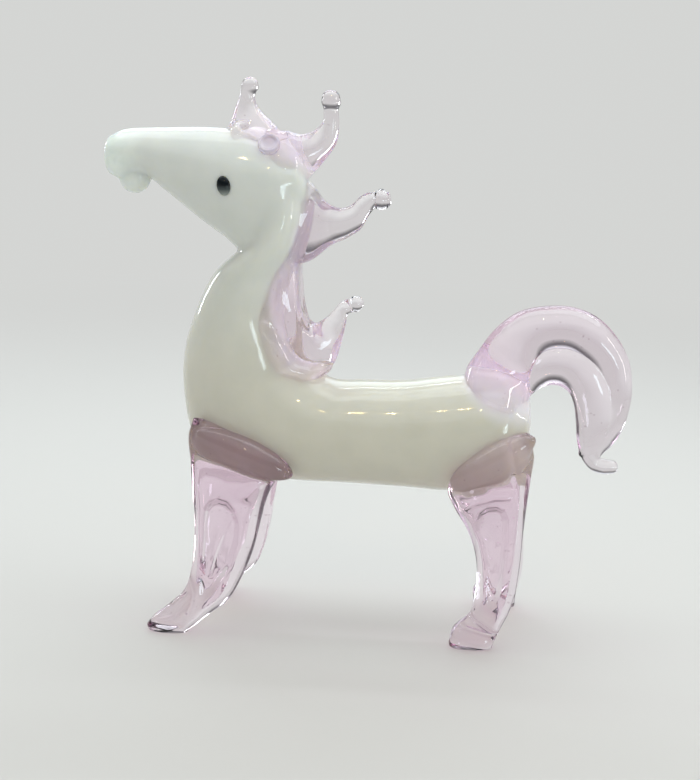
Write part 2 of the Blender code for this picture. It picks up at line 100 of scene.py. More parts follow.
# A strap of the withers gather that lies along the back of the neck.
STRAP = (
    (-7.8, 57.6, -9.8, 57.2, 1.7), (-8.0, 55.6, -10.4, 55.0, 2.3), (-8.7, 52.9, -11.4, 52.0, 2.9),
    (-10.2, 48.6, -13.6, 47.0, 3.7), (-10.9, 45.2, -15.6, 44.4, 4.5), (-10.7, 42.2, -16.0, 42.0, 4.9),
    (-9.6, 39.4, -15.2, 38.4, 5.1), (-8.4, 37.6, -12.8, 35.0, 5.0), (-6.8, 37.0, -9.4, 33.6, 4.2),
)
STRAP_ENDS = ((-8.6, 58.8), (-4.8, 35.6))
FORELOCK = (
    (-20.0, 67.3, -11.2, 66.8, 2.64), (-19.2, 68.8, -13.0, 68.6, 2.1), (-18.7, 70.1, -15.0, 70.5, 1.5),
    (-18.2, 71.6, -15.8, 71.8, 1.15), (-17.9, 72.6, -15.8, 72.7, 1.05), (-17.75, 73.6, -15.35, 73.5, 1.2),
)
FORELOCK_ENDS = ((-15.9, 65.8), (-16.5, 74.95))
# Legs: the two points, then how far the hoop stands out from the torso and its thickness, both as shares.
FORELEG = (
    (-22.9, 29.2, -10.5, 24.0, -0.30, 0.80), (-23.6, 26.9, -9.7, 22.7, -0.10, 1.02),
    (-23.2, 23.4, -11.1, 21.4, 0.04, 1.10), (-22.8, 19.4, -12.6, 18.4, 0.22, 1.10),
    (-22.3, 15.4, -13.4, 14.7, 0.42, 1.00), (-22.3, 11.5, -14.4, 10.7, 0.58, 0.92),
    (-22.6, 8.5, -15.7, 7.5, 0.72, 0.84), (-23.6, 5.5, -17.4, 4.6, 0.84, 0.78),
    (-25.6, 3.6, -19.6, 2.8, 0.92, 0.76), (-27.4, 2.1, -21.3, 1.25, 0.97, 0.76),
    (-28.5, 0.8, -22.7, 0.2, 1.00, 0.76),
)
FORELEG_ENDS = ((-16.9, 27.4), (-25.2, -2.0))
HIND_LEG = (
    (22.9, 28.7, 12.5, 22.7, -0.30, 0.80), (23.4, 26.3, 11.9, 21.1, -0.10, 1.02),
    (23.1, 22.9, 13.1, 18.4, 0.06, 1.10), (22.7, 19.0, 14.8, 15.8, 0.27, 1.08),
    (22.4, 15.2, 15.9, 13.3, 0.45, 0.98), (22.2, 11.5, 16.4, 10.3, 0.58, 0.90),
    (21.8, 8.3, 16.3, 7.3, 0.72, 0.82), (21.0, 5.1, 15.6, 4.6, 0.85, 0.78),
    (19.8, 2.6, 13.4, 2.4, 0.94, 0.78), (19.0, 0.6, 13.0, 0.6, 1.00, 0.78),
)
HIND_LEG_ENDS = ((17.8, 27.8), (16.0, -2.0))

# Meshes

HOOP_SPACING = 0.3
CAP_HOOPS = 12
# Hoops closer than this count as being this far apart.
LEAST_SPAN = 0.05
# The power of the curve that a hoop follows: 2 is an ellipse, and more is squarer.
ROUND = 2.0
# Vertices whose share of a local smoothing is below this are left out of it.
LEAST_SHARE = 0.01
# A local smoothing starts this far from the middle plane, and is full at twice as much.
OUTLINE_KEPT = 1.5


def circle(segments):
    """Angles of evenly spaced points round a circle."""
    return np.arange(segments) * 2 * math.pi / segments


def ease(value):
    """A value from 0 to 1, made to start and end gently."""
    value = np.clip(value, 0, 1)
    return value * value * (3 - 2 * value)


def line_distance(x, z, path):
    """Distance of points from a path in the XZ plane."""
    best = np.full(len(x), 1e9)
    for (ax, az), (bx, bz) in zip(path, path[1:]):
        dx, dz = bx - ax, bz - az
        t = np.clip(((x - ax) * dx + (z - az) * dz) / (dx * dx + dz * dz), 0, 1)
        best = np.minimum(best, np.hypot(x - ax - t * dx, z - az - t * dz))
    return best


def inside(x, z, outline):
    """Whether points of the XZ plane lie inside a closed outline."""
    result = np.zeros(len(x), bool)
    for (ax, az), (bx, bz) in zip(outline, outline[1:] + outline[:1]):
        crosses = (az > z) != (bz > z)
        with np.errstate(divide="ignore", invalid="ignore"):
            at = (bx - ax) * (z - az) / (bz - az) + ax
        result ^= crosses & (x < at)
    return result


def resample(rows):
    """Rows on a smooth curve through the given ones, a set distance apart along their middles."""
    rows = np.array(rows, float)
    middles = (rows[:, 0:2] + rows[:, 2:4]) / 2
    spans = np.maximum(np.linalg.norm(np.diff(middles, axis=0), axis=1), LEAST_SPAN)
    slopes = np.diff(rows, axis=0) / spans[:, None]
    tangents = np.empty_like(rows)
    tangents[0], tangents[-1] = slopes[0], slopes[-1]
    before, after = spans[:-1, None], spans[1:, None]
    tangents[1:-1] = (slopes[:-1] * after + slopes[1:] * before) / (before + after)
    result = []
    for i, span in enumerate(spans):
        count = max(2, int(round(span / HOOP_SPACING)))
        for step in range(count):
            t = step / count
            here, leaving = 2 * t ** 3 - 3 * t ** 2 + 1, (t ** 3 - 2 * t ** 2 + t) * span
            there, arriving = 3 * t ** 2 - 2 * t ** 3, (t ** 3 - t ** 2) * span
            result.append(here * rows[i] + leaving * tangents[i]
                          + there * rows[i + 1] + arriving * tangents[i + 1])
    result.append(rows[-1])
    return result


def capped(row, end):
    """Rows that close a gather from its last hoop to its end point, as half an ellipsoid."""
    row = np.array(row, float)
    middle = (row[0:2] + row[2:4]) / 2
    result = []
    for step in range(1, CAP_HOOPS):
        angle = math.pi / 2 * step / CAP_HOOPS
        centre = middle + (np.array(end) - middle) * math.sin(angle)
        size = math.cos(angle)
        new = row.copy()
        new[0:2] = centre + (row[0:2] - middle) * size
        new[2:4] = centre + (row[2:4] - middle) * size
        new[5] = row[5] * size
        result.append(new)
    return result


def skin(rings, start, end):
    """Vertices and faces of a closed surface over rings of points, pinched to a point at both ends."""
    count, segments = len(rings), len(rings[0])
    last = (count - 1) * segments
    faces = []
    for base in range(0, last, segments):
        for seg in range(segments):
            after = (seg + 1) % segments
            faces.append((base + seg, base + after, base + segments + after, base + segments + seg))
    for seg in range(segments):
        after = (seg + 1) % segments
        faces.append((count * segments, after, seg))
        faces.append((count * segments + 1, last + seg, last + after))
    return np.concatenate((*rings, [start], [end])), faces


def loft(rows, ends, segments=64):
    """A closed gather over hoops (x, z, x, z, half width) or (x, z, x, z, y, half width, squareness)."""
    rows = [row if len(row) == 7 else (*row[:4], 0.0, row[4], ROUND) for row in rows]
    hoops = [*reversed(capped(rows[0], ends[0])), *resample(rows), *capped(rows[-1], ends[1])]
    cosines, sines = np.cos(circle(segments)), np.sin(circle(segments))
    rings = []
    for px, pz, qx, qz, y, half, square in hoops:
        along = np.sign(cosines) * np.abs(cosines) ** (2 / square)
        across = np.sign(sines) * np.abs(sines) ** (2 / square)
        rings.append(np.stack(((px + qx) / 2 + (px - qx) / 2 * along, y + half * across,
                               (pz + qz) / 2 + (pz - qz) / 2 * along), axis=1))
    start, end = ((x, hoop[4], z) for (x, z), hoop in zip(ends, (hoops[0], hoops[-1])))
    return skin(rings, start, end)


def revolved(profile, segments):
    """A closed surface round the Z axis, over (radius, height) points from one pole to the other."""
    cosines, sines = np.cos(circle(segments)), np.sin(circle(segments))
    rings = [np.stack((radius * cosines, radius * sines, np.full(segments, height)), axis=1)
             for radius, height in profile[1:-1]]
    return skin(rings, (0.0, 0.0, profile[0][1]), (0.0, 0.0, profile[-1][1]))


def placed(points, angle, axis, place):
    """Points turned about an axis and moved to their place."""
    return points @ np.array(Matrix.Rotation(math.radians(angle), 3, axis)).T + np.array(place)


def ellipsoid(place, radii, lean=0.0, segments=40, rings=24):
    """An ellipsoid round a place, leant in the XZ plane by degrees."""
    polars = [math.pi * ring / rings for ring in range(rings + 1)]
    points, faces = revolved([(math.sin(polar), math.cos(polar)) for polar in polars], segments)
    return placed(points * np.array(radii), lean, "Y", place), faces


def new_object(name, points, faces):
    data = bpy.data.meshes.new(name)
    data.from_pydata([tuple(p) for p in np.asarray(points) * MM], [], faces)
    data.validate()
    obj = bpy.data.objects.new(name, data)
    bpy.context.scene.collection.objects.link(obj)
    return obj


def outward(obj):
    """Faces turned to point out of the closed mesh."""
    mesh = bmesh.new()
    mesh.from_mesh(obj.data)
    bmesh.ops.recalc_face_normals(mesh, faces=mesh.faces)
    mesh.to_mesh(obj.data)
    mesh.free()


def add_smoothing(obj, passes):
    smooth = obj.modifiers.new("soften", "SMOOTH")
    smooth.factor = 0.5
    smooth.iterations = passes
    return smooth


def apply_modifiers(obj):
    """The object's mesh replaced by the one that its modifiers make of it."""
    evaluated = obj.evaluated_get(bpy.context.evaluated_depsgraph_get())
    data = bpy.data.meshes.new_from_object(evaluated)
    obj.modifiers.clear()
    obj.vertex_groups.clear()
    obj.data = data
    data.name = obj.name


def melt(name, shapes, voxel, passes):
    """One closed skin around several overlapping shapes, with its creases softened."""
    parts = []
    for i, shape in enumerate(shapes):
        part = new_object("%s_%d" % (name, i) if i else name, *shape)
        outward(part)
        parts.append(part)
    obj = parts[0]
    if len(parts) > 1:
        with bpy.context.temp_override(active_object=obj, object=obj, selected_editable_objects=parts,
                                       selected_objects=parts):
            bpy.ops.object.join()
    remesh = obj.modifiers.new("melt", "REMESH")
    remesh.mode = "VOXEL"
    remesh.voxel_size = voxel * MM
    add_smoothing(obj, passes)
    apply_modifiers(obj)
    for polygon in obj.data.polygons:
        polygon.use_smooth = True
    return obj


def read_vectors(items, name):
    values = np.empty(len(items) * 3)
    items.foreach_get(name, values)
    return values.reshape(-1, 3)


def points_of(obj):
    """Places of the vertices, in millimetres."""
    return read_vectors(obj.data.vertices, "co") / MM


def normals_of(obj):
    return read_vectors(obj.data.vertex_normals, "vector")


def write_back(obj, points):
    obj.data.vertices.foreach_set("co", (points * MM).ravel())
    obj.data.update()


def ripple(obj, height, size, seed):
    """Slow unevenness of hand worked glass."""
    points = points_of(obj)
    shift = np.array([noise.noise(Vector(p) / size + Vector((seed, 0.0, 0.0))) for p in points])
    write_back(obj, points + normals_of(obj) * (shift * height)[:, None])


def soften_near(obj, path, reach, passes):
    """A crease on both sides of the body smoothed away along a path in the XZ plane, but not its outline."""
    x, y, z = points_of(obj).T
    # Full within a third of the reach, and nothing at its end.
    near = ease(1.5 - 1.5 * line_distance(x, z, path) / reach)
    shares = near * ease((np.abs(y) - OUTLINE_KEPT) / OUTLINE_KEPT)
    group = obj.vertex_groups.new(name="soft")
    for index in np.nonzero(shares > LEAST_SHARE)[0]:
        group.add([int(index)], float(shares[index]), "REPLACE")
    add_smoothing(obj, passes).vertex_group = group.name
    apply_modifiers(obj)


# Materials

GLASS_IOR = 1.5
WHITE = (1.0, 1.0, 1.0)
BLACK = (0.0, 0.0, 0.0)
# Colours of the opal from the belly's height up to the crown's, partly its own cream tone and partly painted
# light: lighter and bluer towards the crown, darker and warmer low down; and colours of its faint clouds.
BELLY, CROWN = 20.0, 66.0
OPAL_TONES_AND_PAINTED_LIGHT = ((0.0, (0.645, 0.63, 0.535)), (0.35, (0.655, 0.65, 0.575)), (0.60, (0.68, 0.70, 0.65)),
              (1.0, (0.71, 0.74, 0.715)))
OPAL_CLOUDS = ((0.35, (0.93, 0.94, 0.94)), (0.65, WHITE))
# Blotches that lighten the muzzle, from where they begin to where they are full.
MUZZLE_FROM, MUZZLE_TO = -30.0, -34.5
MUZZLE_BLOTCHES = ((0.38, (1.04, 1.09, 1.09)), (0.62, (1.13, 1.17, 1.17)))
# Painted light: spots where the opal is painted whiter under clear glass, for the light that the thick glass
# gathers and scatters onto it; middle, full and no effect at these distances.
OPAL_PAINTED_LIGHT_SPOTS = (((18.4, 0.0, 32.3), 5.2, 6.8), ((-13.0, 0.0, 66.0), 3.0, 5.5), ((-9.0, 0.0, 40.0), 4.0, 6.0),
              ((-9.5, 0.0, 47.0), 4.0, 5.8), ((-8.5, 0.0, 54.0), 3.0, 4.6))
PAINTED_LIGHT_WHITE = (0.74, 0.735, 0.75)
# Clear glass: its faint tint, the dark middle of a speck, and painted shade: darker colour along the sides of
# tool marks and at edges seen sideways, standing in for the dark lines that glass bends into view.
FAINT_PINK = (1.0, 0.985, 0.995)
SPECK = (0.42, 0.28, 0.34)
PAINTED_MARK_SHADE = ((0.0, WHITE), (1.0, (0.60, 0.48, 0.55)))
PAINTED_EDGE_SHADE = ((0.45, WHITE), (0.80, (0.80, 0.74, 0.78)), (1.0, (0.62, 0.55, 0.60)))
# The black dots, from the height of their lower rim up to where they are black.
EYE_RIM, EYE_BLACK = 59.5, 60.9
EYE_TONES = ((0.0, (0.30, 0.335, 0.31)), (0.6, (0.06, 0.075, 0.075)), (1.0, (0.005, 0.008, 0.010)))


def set_inputs(tree, node, inputs):
    """Each input of a node linked to another node's output, or set to a value."""
    for socket, value in inputs.items():
        if isinstance(value, bpy.types.NodeSocket):
            tree.links.new(value, node.inputs[socket])
        else:
            node.inputs[socket].default_value = value


def add_node(tree, kind, inputs=None, **settings):
    """A node with its settings and inputs, given as its collection of outputs."""
    node = tree.nodes.new("ShaderNode" + kind)
    for name, value in settings.items():
        setattr(node, name, value)
    set_inputs(tree, node, inputs or {})
    return node.outputs


def object_place(tree):
    return add_node(tree, "TexCoord")["Object"]


def axes_of(tree, vector):
    return add_node(tree, "SeparateXYZ", {"Vector": vector})


def spread(tree, value, low, high, smooth=False):
    """A length turned into 0 at the low one (mm) and 1 at the high one."""
    inputs = {"Value": value, "From Min": low * MM, "From Max": high * MM}
    way = "SMOOTHSTEP" if smooth else "LINEAR"
    return add_node(tree, "MapRange", inputs, interpolation_type=way)["Result"]


def mix(tree, a, b, factor, way="MIX"):
    """Two colours mixed by a factor."""
    inputs = {"A": a, "B": b, "Factor": factor}
    return add_node(tree, "Mix", inputs, data_type="RGBA", blend_type=way)["Result"]


def mix_shaders(tree, a, b, factor):
    return add_node(tree, "MixShader", {"Fac": factor, 1: a, 2: b})["Shader"]


def noise_in(tree, place, scale, detail):
    return add_node(tree, "TexNoise", {"Scale": scale, "Detail": detail, "Vector": place})["Fac"]


def ramp(tree, source, stops):
    """A value turned into a colour by (value, colour) stops."""
    node = tree.nodes.new("ShaderNodeValToRGB")
    elements = node.color_ramp.elements
    for i, (place, colour) in enumerate(stops):
        element = elements[i] if i < 2 else elements.new(place)
        element.position = place
        element.color = (*colour, 1.0)
    tree.links.new(source, node.inputs["Fac"])
    return node.outputs["Color"]


def bump(tree, shader, height, strength, distance):
    inputs = {"Strength": strength, "Distance": distance, "Height": height}
    set_inputs(tree, shader, {"Normal": add_node(tree, "Bump", inputs)["Normal"]})


def material(name, roughness):
    """A new material with its node tree and main shader."""
    mat = bpy.data.materials.new(name)
    mat.use_nodes = True
    shader = mat.node_tree.nodes["Principled BSDF"]
    shader.inputs["Roughness"].default_value = roughness
    return mat, mat.node_tree, shader


def opal_glass():
    """Milky glass, clouded and blotched at the muzzle, with painted light: creamy and darker low down,
    lighter towards the crown, and painted whiter under clear glass.
    """
    mat, tree, shader = material("opal_white_glass", roughness=0.07)
    place = object_place(tree)
    axes = axes_of(tree, place)
    # Painted light: the opal gets lighter and bluer with height, and darker and warmer low down.
    tone_and_painted_light = ramp(tree, spread(tree, axes["Z"], BELLY, CROWN), OPAL_TONES_AND_PAINTED_LIGHT)
    clouds = ramp(tree, noise_in(tree, place, scale=260.0, detail=3.0), OPAL_CLOUDS)
    colour = mix(tree, tone_and_painted_light, clouds, 0.6, "MULTIPLY")
    muzzle = spread(tree, axes["X"], MUZZLE_FROM, MUZZLE_TO)
    blotches = ramp(tree, noise_in(tree, place, scale=520.0, detail=2.0), MUZZLE_BLOTCHES)
    colour = mix(tree, colour, blotches, muzzle, "MULTIPLY")
    # Painted light: the opal whitened round each spot under clear glass.
    for middle, full, none in OPAL_PAINTED_LIGHT_SPOTS:
        spot = tuple(v * MM for v in middle)
        away = add_node(tree, "VectorMath", {0: place, 1: spot}, operation="DISTANCE")["Value"]
        colour = mix(tree, colour, (*PAINTED_LIGHT_WHITE, 1.0), spread(tree, away, none, full, smooth=True))
    set_inputs(tree, shader, {"Base Color": colour, "Subsurface Weight": 1.0, "Subsurface Scale": 0.0016,
                              "Subsurface Radius": (1.0, 0.92, 0.72), "IOR": GLASS_IOR})
    bump(tree, shader, noise_in(tree, place, scale=420.0, detail=1.0), strength=0.10, distance=0.0002)
    return mat


def pink_glass(name, left_over, density, shadow, transmission=1.0, tint=FAINT_PINK):
    """Clear glass coloured by its depth, with fine specks, and painted shade at marks and at edges seen
    sideways.
    """
    mat, tree, shader = material(name, roughness=0.02)
    place = object_place(tree)
    speck = add_node(tree, "TexVoronoi", {"Scale": 700.0, "Vector": place})["Distance"]
    colour = ramp(tree, speck, ((0.0, SPECK), (0.10, tint), (1.0, tint)))
    mark = add_node(tree, "Attribute", attribute_name="shade")["Fac"]
    # Painted shade at edges seen sideways, for the dark surroundings that glass bends into view.
    edge = add_node(tree, "LayerWeight", {"Blend": 0.5})["Facing"]
    # Painted shade: marks and edges seen sideways darken the glass's colour.
    for tones in (ramp(tree, mark, PAINTED_MARK_SHADE), ramp(tree, edge, PAINTED_EDGE_SHADE)):
        colour = mix(tree, colour, tones, 1.0, "MULTIPLY")
    set_inputs(tree, shader, {"Base Color": colour, "Transmission Weight": transmission, "IOR": GLASS_IOR})
    bump(tree, shader, noise_in(tree, place, scale=140.0, detail=1.5), strength=0.25, distance=0.0004)
    clear = add_node(tree, "BsdfTransparent", {"Color": (*shadow, 1.0)})["BSDF"]
    surface = mix_shaders(tree, shader.outputs["BSDF"], clear, add_node(tree, "LightPath")["Is Shadow Ray"])
    volume = add_node(tree, "VolumeAbsorption", {"Color": (*left_over, 1.0), "Density": density})["Volume"]
    set_inputs(tree, tree.nodes["Material Output"], {"Surface": surface, "Volume": volume})
    return mat


def black_glass():
    """Black glass, paler at the lower rim of the dots."""
    mat, tree, shader = material("black_glass", roughness=0.06)
    height = spread(tree, axes_of(tree, object_place(tree))["Z"], EYE_RIM, EYE_BLACK)
    set_inputs(tree, shader, {"Base Color": ramp(tree, height, EYE_TONES), "IOR": GLASS_IOR,
                              "Specular IOR Level": 0.2})
    return mat


opal = opal_glass()
pink = pink_glass("pink_glass", (0.92, 0.785, 0.87), density=170.0, shadow=(0.96, 0.90, 0.94))
pale_pink = pink_glass("pale_pink_glass", (0.915, 0.785, 0.87), density=115.0, shadow=(0.96, 0.91, 0.95))
milky_pink = pink_glass("milky_pink_glass", (0.93, 0.86, 0.93), density=60.0, shadow=(0.97, 0.94, 0.97),
                        transmission=0.62, tint=(0.78, 0.74, 0.82))
tail_pink = pink_glass("tail_pink_glass", (0.915, 0.785, 0.87), density=150.0, shadow=(0.96, 0.91, 0.95))
black = black_glass()


def finish_piece(obj, mat, nodes):
    """A piece given its glass in its material slot, tied to the root body, with the nodes that it replaces
    hidden.
    """
    obj.data.materials.clear()
    obj.data.materials.append(mat)
    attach(obj, "root")
    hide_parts(*nodes)


# Body with its lower lip

# The drop under the muzzle: middle and radii.
LIP = ((-32.1, 0.0, 60.95), (2.1, 1.95, 2.0))
# Where the jaw and the neck are smoothed into each other.
JAW_CREASE = ((-16.7, 54.2), (-13.5, 57.6), (-11.0, 60.0))

body = melt("opal_body", [loft(BODY, BODY_ENDS), loft(HEAD, HEAD_ENDS), ellipsoid(*LIP)],
            voxel=0.235 * COARSE, passes=6)
soften_near(body, JAW_CREASE, reach=3.2, passes=90)
ripple(body, height=0.10, size=6.5, seed=3.0)
finish_piece(body, opal, ["body", "lower_lip"])

# Eyes and ears

# Where the right one is, then the eye's radii and lean, and the ear's tilt and the points round it.
EYE_PLACE, EYE_RADII, EYE_LEAN = (-19.1, 4.95, 60.78), (0.97, 0.74, 1.36), -14.0
EAR_PLACE, EAR_TILT, EAR_SEGMENTS = (-13.42, 3.05, 66.15), -52.0, 48
# Half a section (radius, height) of a flat drop with a rounded rim.
EAR_PROFILE = ((0.0, 0.42), (0.45, 0.44), (0.80, 0.50), (1.05, 0.66), (1.25, 0.72), (1.42, 0.60),
               (1.50, 0.36), (1.48, 0.05), (1.38, -0.35), (1.1, -0.75), (0.6, -0.9), (0.0, -0.95))


def on_side(place, side):
    """A place on the right side, moved to either side."""
    return place[0], side * place[1], place[2]


def ear_drop(side):
    """A flat drop that faces up and outward."""
    points, faces = revolved(EAR_PROFILE, EAR_SEGMENTS)
    return placed(points, EAR_TILT * side, "X", on_side(EAR_PLACE, side)), faces


for side_name, side in SIDES:
    eye = melt(side_name + "_eye_dot", [ellipsoid(on_side(EYE_PLACE, side), EYE_RADII, EYE_LEAN)],
               voxel=0.07, passes=4)
    finish_piece(eye, black, [side_name + "_eye"])
    ear = melt(side_name + "_ear_dot", [ear_drop(side)], voxel=0.09, passes=3)
    finish_piece(ear, milky_pink, [side_name + "_ear"])

# Forelock, mane and tail

PINK_VOXEL = 0.14 * COARSE
LOCK_RIPPLE = 0.05
# Drops at the forelock's foot: middle, radii and lean.
FORELOCK_DROPS = (
    ((-18.0, -2.2, 67.4), (0.75, 0.8, 1.2), 0.0), ((-17.3, -1.5, 68.2), (1.5, 0.9, 0.9), -20.0),
    ((-15.0, -1.6, 67.6), (1.7, 1.2, 0.9), 15.0), ((-17.3, 1.5, 67.9), (1.5, 0.9, 0.9), -20.0),
)
# The skin that the poll gather leaves over the head between the ears: middle, radii and lean.
SADDLE = ((-13.0, 0.0, 62.5), (4.6, 4.15, 5.55), 12.0)
# Each piece: name, shapes, smoothing passes, size and seed of its ripple, glass and node.
LOCKS = (
    ("forelock_spike", [loft(FORELOCK, FORELOCK_ENDS), *(ellipsoid(*drop) for drop in FORELOCK_DROPS)],
     5, 2.5, 11.0, pale_pink, "forelock"),
    ("poll_hook", [loft(POLL, POLL_ENDS), ellipsoid(*SADDLE, segments=64, rings=40)],
     5, 2.5, 12.0, pale_pink, "mane_poll_lock"),
    ("neck_hook", [loft(NECK, NECK_ENDS)], 6, 2.5, 13.0, pale_pink, "mane_neck_lock"),
    ("withers_hook", [loft(WITHERS, WITHERS_ENDS), loft(STRAP, STRAP_ENDS)],
     6, 2.5, 14.0, pale_pink, "mane_withers_lock"),
    ("tail_curl", [loft(TAIL_ROD, TAIL_ROD_ENDS), loft(TAIL_FOLD, TAIL_FOLD_ENDS)],
     7, 3.0, 15.0, tail_pink, "tail"),
)

for name, shapes, passes, size, seed, glass, node in LOCKS:
    lock = melt(name, shapes, PINK_VOXEL, passes)
    ripple(lock, LOCK_RIPPLE, size, seed)
    finish_piece(lock, glass, [node])

# Legs

# A leg's outer face is this far from the middle plane where its hoop's share is 0, and further by the splay
# where it is 1.
LEG_OUT, LEG_SPLAY = 8.2, 2.5
# Half the thickness of a leg where its hoop says 1.
LEG_HALF = 2.3
# The shank is squarer than the wrap: by this much, from where it stands out this far, and at this rate.
SHANK_SQUARE, SQUARE_FROM, SQUARE_RATE = 0.6, 0.1, 3
# Below this height a foot is set back by its leg's stagger.
SET_BACK_BELOW = 19.8
# A leg's top is tucked forward from this height up, fully so after this much more.
TUCK_FROM, TUCK_OVER = 20.0, 7.0
# The outermost parts are eased in between these distances from the middle plane.
OUT_SOFT, OUT_LIMIT = 10.95, 11.27
# The lowest height of a vertex, just above the ground so that rounding puts none below it.
LOWEST = 0.004
# Each leg: name, hoops and ends, then how far the right one's foot is set back and its top tucked forward.
LEGS = (("foreleg", FORELEG, FORELEG_ENDS, 2.4, 0.0), ("hind_leg", HIND_LEG, HIND_LEG_ENDS, 3.2, 0.9))
# Lumps melted onto a leg's outer side: middle (x, out, z), radii and lean.
PADS = {
    "foreleg": (((-15.6, 7.1, 24.9), (7.2, 2.1, 2.25), 23.0), ((-12.3, 7.1, 23.35), (2.35, 1.7, 1.7), 20.0),
                ((-19.0, 5.3, 25.4), (4.5, 3.4, 2.6), 22.0)),
    "hind_leg": (((17.9, 7.0, 25.4), (6.6, 2.0, 2.2), -33.0), ((21.5, 6.8, 27.4), (1.6, 1.7, 1.5), -33.0),
                 ((19.2, 5.2, 25.6), (4.1, 3.4, 3.0), -15.0)),
}
# A mark starts where the glass faces outward this much (1 is straight out), and is full after this much more.
FACING_FROM, FACING_OVER = 0.05, 0.5
# Tool marks on a leg's outer face: kind, path or outline in the XZ plane, height, reach and depth of painted
# shade.
# A facet is a pressed flat, ribs ripple it, ridges and pits follow their points, and painted shade only
# darkens the colour, standing in for the shade that a wrap lies in.
PRESSES = {
    "foreleg": (
        ("facet", ((-21.5, 15.6), (-21.2, 17.4), (-20.3, 18.7), (-18.9, 19.2), (-17.4, 18.8), (-16.2, 17.5),
                   (-15.5, 15.6), (-15.6, 13.0), (-16.7, 9.4), (-18.9, 5.8), (-20.4, 4.6), (-21.4, 5.2),
                   (-21.7, 8.0), (-21.6, 12.0)), -0.55, 1.3, 0.3),
        ("facet", ((-22.6, 6.9), (-22.1, 4.4), (-23.6, 2.2), (-26.4, 1.5), (-27.2, 2.1), (-25.0, 4.3)),
         -0.40, 0.8, 0),
        ("ribs", ((-22.5, 7.2), (-22.0, 4.4), (-23.7, 2.2), (-26.7, 1.5), (-27.2, 2.0), (-25.0, 4.3)),
         0.08, 0.6, 0.3),
        ("ridge", ((-16.9, 16.6), (-18.2, 14.0), (-19.2, 11.2), (-19.9, 8.4)), 0.10, 0.26, 0),
        ("ridge", ((-22.6, 7.6), (-21.9, 5.9), (-22.1, 4.2), (-22.6, 3.2)), 0.22, 0.32, 0.4),
        ("ridge", ((-27.2, 0.9), (-25.2, 0.7), (-23.4, 0.9)), 0.15, 0.45, 0),
        ("ridge", ((-14.9, 19.5), (-13.7, 20.4)), 0.30, 0.75, 0),
        # Painted shade: the fore wrap darkened all over, for the shade it lies in under the body.
        ("painted_shade", ((-25.0, 31.5), (-24.6, 26.6), (-22.2, 24.2), (-19.0, 22.9), (-15.0, 21.5), (-10.5, 20.1),
                   (-8.0, 20.5), (-8.0, 27.5), (-14.0, 31.5)), 0.0, 1.2, 0.65),
    ),
    "hind_leg": (
        ("facet", ((15.6, 16.0), (15.5, 17.5), (16.1, 18.8), (17.3, 19.7), (18.8, 19.9), (20.0, 19.4),
                   (20.6, 18.0), (20.7, 15.0), (20.5, 11.0), (20.1, 8.0), (19.5, 6.3), (18.6, 5.6),
                   (17.7, 6.3), (17.3, 8.4), (17.0, 11.4), (16.4, 14.2)), -0.50, 1.2, 0.3),
        ("ridge", ((14.2, 18.8), (15.8, 19.9), (18.3, 20.8), (20.2, 20.9)), 0.20, 0.45, 0),
        ("ridge", ((14.7, 21.4), (16.5, 22.0)), 0.30, 0.75, 0),
        ("ridge", ((20.3, 28.6), (20.6, 26.8), (21.05, 24.5), (21.5, 21.2), (21.6, 18.1), (21.6, 14.9),
                   (21.4, 12.0), (20.9, 9.0), (20.5, 7.2), (19.7, 4.8), (19.1, 3.2)), 0.42, 0.55, 0),
        ("ridge", ((13.4, 3.6), (15.8, 2.9), (18.9, 2.1), (19.9, 2.0)), -0.42, 0.34, 0.6),
        ("ridge", ((13.0, 1.6), (15.6, 1.2), (18.9, 0.9)), 0.25, 0.60, 0),
        ("ridge", ((15.2, 5.4), (16.2, 4.5), (17.6, 3.5), (19.9, 2.2)), 0.60, 0.22, 0.8),
        ("ridge", ((16.1, 5.6), (15.2, 4.9), (14.3, 4.1), (13.3, 3.2)), 0.60, 0.22, 0.8),
        ("pits", ((19.1, 14.6), (19.2, 11.4), (18.9, 8.6)), -0.10, 0.24, 0.2),
    ),
}
# The toe's ribs: their way across the XZ plane, how far and how fast they sway, and how far apart they are.
RIB_WAY, RIB_SWAY, RIB_BEND, RIB_SPACING = (0.6, -0.8), 0.35, 1.1, 0.75
# The wrap's lower rim, which is smoothed into the shank.
WRAP_RIM = {
    "foreleg": ((-22.6, 26.4), (-22.0, 24.4), (-19.0, 23.2), (-15.0, 21.8), (-10.5, 20.4)),
    "hind_leg": ((22.8, 26.6), (22.2, 24.8), (18.8, 23.2), (15.4, 21.4), (11.8, 20.6)),
}


def set_back(z, stagger):
    """How far a leg is set back at a height: all of the stagger on the ground, and nothing at its top."""
    return stagger * np.maximum(0.0, 1 - z / SET_BACK_BELOW) ** 2


def tucked(z, tuck):
    """How far a leg is tucked forward at a height."""
    return tuck * float(ease((z - TUCK_FROM) / TUCK_OVER))


def leg_rows(table, side, stagger, tuck):
    """Hoops of one leg: its foot set back by the stagger, its top forward by the tuck."""
    rows = []
    for px, pz, qx, qz, out, thickness in table:
        half = LEG_HALF * thickness
        y = side * (LEG_OUT + LEG_SPLAY * out - half)
        square = ROUND + SHANK_SQUARE * min(1.0, max(0.0, (out - SQUARE_FROM) * SQUARE_RATE))
        forward = tucked(pz, tuck)
        px += set_back(pz, stagger) - forward
        qx += set_back(qz, stagger) - forward
        rows.append((px, pz, qx, qz, y, half, square))
    return rows


